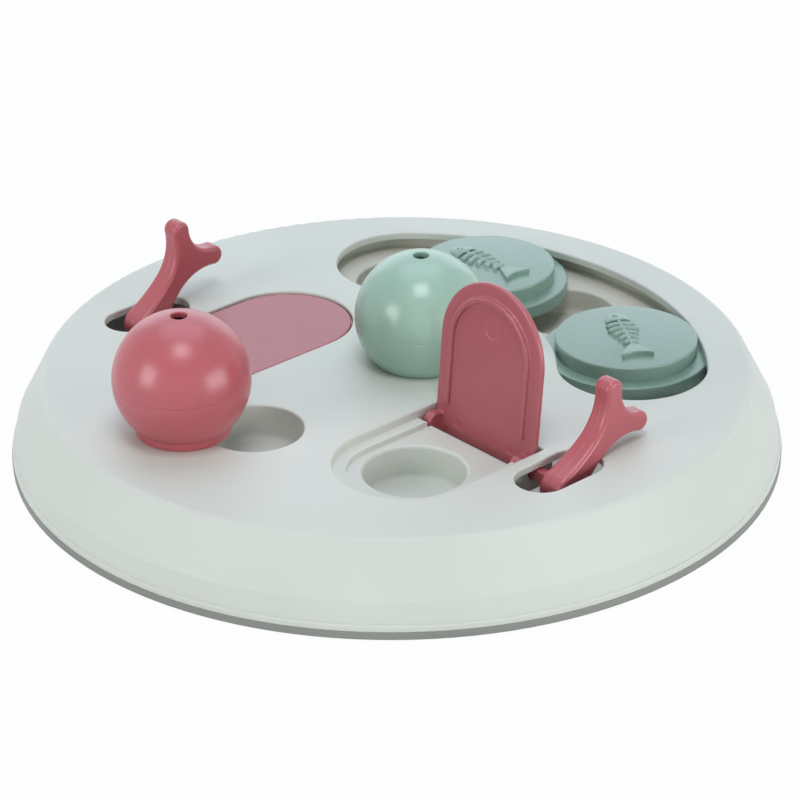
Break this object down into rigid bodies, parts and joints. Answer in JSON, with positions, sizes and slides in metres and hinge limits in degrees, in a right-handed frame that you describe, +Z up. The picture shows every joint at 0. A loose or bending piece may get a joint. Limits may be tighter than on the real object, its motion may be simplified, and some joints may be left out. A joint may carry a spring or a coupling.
{
  "type": "pet puzzle toy",
  "caption": "Round cat activity board with hollow treat balls in cups, lever-worked flip lids over treat cups and fishbone sliders in an arc-shaped track.",
  "frame": {"origin": "middle of the ring's underside, where the board stands on the floor", "axes": "+Z up, +X from the middle of the board towards the middle of the arc track, +Y towards the rear lid's side"},
  "size_m": [0.23, 0.23, 0.0686],
  "materials": {
    "shell_plastic": "satin moulded plastic, pale grey",
    "tray_plastic": "satin moulded plastic, pale grey",
    "ring_rubber": "matt grey elastomer",
    "pink_plastic": "semi-gloss moulded plastic, dusty pink",
    "green_plastic": "semi-gloss moulded plastic, sage green",
    "screw_steel": "zinc-plated steel"
  },
  "bodies": {
    "board": {"top_shell": "shell_plastic", "track_tray": "tray_plastic", "tray_screws": "screw_steel", "non_slip_ring": "ring_rubber"},
    "back_puck": {"back_slider": "green_plastic"},
    "right_puck": {"right_slider": "green_plastic"},
    "front_flip": {"front_lid": "pink_plastic", "front_lever": "pink_plastic"},
    "rear_flip": {"rear_lid": "pink_plastic", "rear_lever": "pink_plastic"},
    "pink_ball": {"pink_ball_top": "pink_plastic", "pink_ball_base": "pink_plastic"},
    "green_ball": {"green_ball_top": "green_plastic", "green_ball_base": "green_plastic"}
  },
  "joints": [
    {"name": "back_slide", "type": "hinge", "parent": "board", "child": "back_puck", "pos_m": [0, 0, 0.0188], "axis": [0, 0, 1], "range_deg": [-6.5, 21]},
    {"name": "right_slide", "type": "hinge", "parent": "board", "child": "right_puck", "pos_m": [0, 0, 0.0188], "axis": [0, 0, 1], "range_deg": [-12, 6.5]},
    {"name": "front_lid_hinge", "type": "hinge", "parent": "board", "child": "front_flip", "pos_m": [-0.012, -0.048, 0.021], "axis": [0, 1, 0], "range_deg": [-95.3, 0]},
    {"name": "rear_lid_hinge", "type": "hinge", "parent": "board", "child": "rear_flip", "pos_m": [-0.034, 0.0436, 0.021], "axis": [0, 1, 0], "range_deg": [-95.3, 0]},
    {"name": "pink_ball_lift", "type": "slide", "parent": "board", "child": "pink_ball", "axis": [0, 0, 1], "range_m": [0, 0.03]},
    {"name": "green_ball_lift", "type": "slide", "parent": "board", "child": "green_ball", "axis": [0, 0, 1], "range_m": [0, 0.03]}
  ]
}
